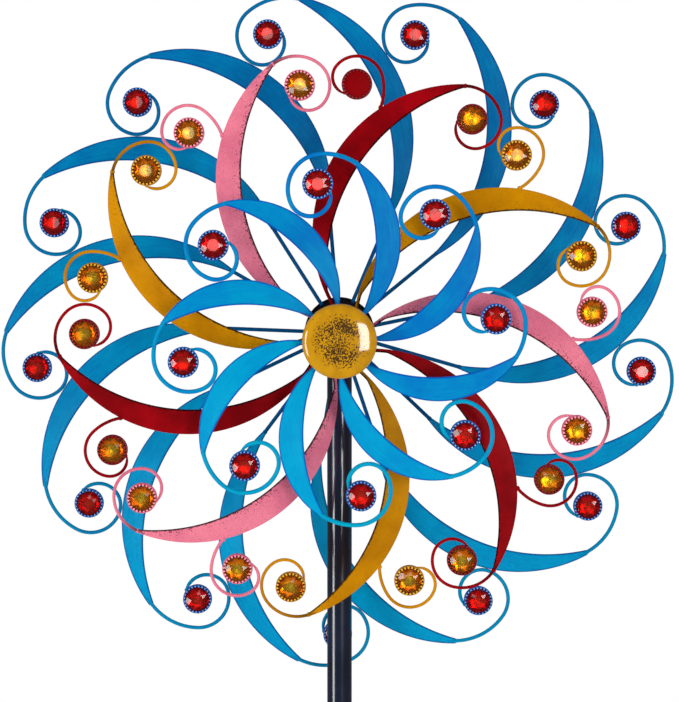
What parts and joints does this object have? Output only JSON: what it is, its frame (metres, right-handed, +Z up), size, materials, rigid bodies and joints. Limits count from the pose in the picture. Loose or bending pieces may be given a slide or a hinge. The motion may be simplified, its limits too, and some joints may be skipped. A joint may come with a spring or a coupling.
{
  "type": "kinetic garden wind spinner",
  "caption": "Garden wind spinner: wheels of curved painted blades with scroll tips and glass stones, each turning on a fixed axle at the top of a sectioned pole with a pronged ground stake",
  "frame": {"origin": "on the pole's axis at ground level, where the stake's four prongs enter the soil", "axes": "+Z up the pole, -Y the front, towards which the axle and the gold cap point, +X to the right seen from the front"},
  "size_m": [0.6138, 0.158, 1.9046],
  "materials": {
    "pole_paint": "gloss powder coat, very dark navy",
    "stake_paint": "satin powder coat, black",
    "black_plastic": "moulded, matte",
    "zinc_steel": "zinc plated",
    "nylon": "moulded nylon",
    "hub_paint": "gloss paint, black",
    "gold_paint": "gloss ochre enamel with a dark brown speckle",
    "red_glass": "faceted, mirror backed",
    "amber_glass": "faceted, mirror backed",
    "navy_paint": "gloss paint, dark blue",
    "warm_bezel_paint": "gloss paint in the colour of the blade beside it",
    "disc_paint": "satin paint, dark red",
    "front_blue_paint": "gloss paint, brushed cobalt and turquoise",
    "rear_blue_paint": "gloss paint, brushed cobalt and turquoise",
    "pink_paint": "satin paint, pink with black specks",
    "red_paint": "satin paint, deep red",
    "yellow_paint": "satin paint, ochre yellow with dark specks"
  },
  "bodies": {
    "pole": {"axle": "zinc_steel", "axle_nuts": "zinc_steel", "axle_spacers": "zinc_steel", "axle_washers": "zinc_steel", "ground_stake": "stake_paint", "lower_pole": "pole_paint", "middle_pole": "pole_paint", "pole_cap": "black_plastic", "upper_pole": "pole_paint"},
    "front_rotor": {"front_bezels": "navy_paint", "front_blade_1": "front_blue_paint", "front_blade_2": "front_blue_paint", "front_blade_3": "front_blue_paint", "front_blade_4": "front_blue_paint", "front_blade_5": "front_blue_paint", "front_blade_6": "front_blue_paint", "front_blade_7": "front_blue_paint", "front_blade_8": "front_blue_paint", "front_bushes": "nylon", "front_cap": "gold_paint", "front_gems": "red_glass", "front_hub": "hub_paint", "front_scrolls": "front_blue_paint"},
    "middle_rotor": {"middle_bezels": "warm_bezel_paint", "middle_bushes": "nylon", "middle_gems": "amber_glass", "middle_hub": "hub_paint", "pink_blade_1": "pink_paint", "pink_blade_2": "pink_paint", "pink_blade_3": "pink_paint", "pink_scrolls": "pink_paint", "plain_disc": "disc_paint", "red_blade_1": "red_paint", "red_blade_2": "red_paint", "red_blade_3": "red_paint", "red_scrolls": "red_paint", "yellow_blade_1": "yellow_paint", "yellow_blade_2": "yellow_paint", "yellow_blade_3": "yellow_paint", "yellow_scrolls": "yellow_paint"},
    "rear_rotor": {"rear_bezels": "navy_paint", "rear_blade_1": "rear_blue_paint", "rear_blade_10": "rear_blue_paint", "rear_blade_11": "rear_blue_paint", "rear_blade_12": "rear_blue_paint", "rear_blade_13": "rear_blue_paint", "rear_blade_2": "rear_blue_paint", "rear_blade_3": "rear_blue_paint", "rear_blade_4": "rear_blue_paint", "rear_blade_5": "rear_blue_paint", "rear_blade_6": "rear_blue_paint", "rear_blade_7": "rear_blue_paint", "rear_blade_8": "rear_blue_paint", "rear_blade_9": "rear_blue_paint", "rear_bushes": "nylon", "rear_cap": "gold_paint", "rear_gems": "red_glass", "rear_hub": "hub_paint", "rear_rods": "navy_paint", "rear_scrolls": "rear_blue_paint"}
  },
  "joints": [
    {"name": "front_spin", "type": "hinge", "parent": "pole", "child": "front_rotor", "pos_m": [0, -0.078, 1.4], "axis": [0, -1, 0], "continuous": true},
    {"name": "middle_spin", "type": "hinge", "parent": "pole", "child": "middle_rotor", "pos_m": [0, -0.054, 1.4], "axis": [0, -1, 0], "continuous": true},
    {"name": "rear_spin", "type": "hinge", "parent": "pole", "child": "rear_rotor", "pos_m": [0, 0.036, 1.4], "axis": [0, -1, 0], "continuous": true}
  ]
}
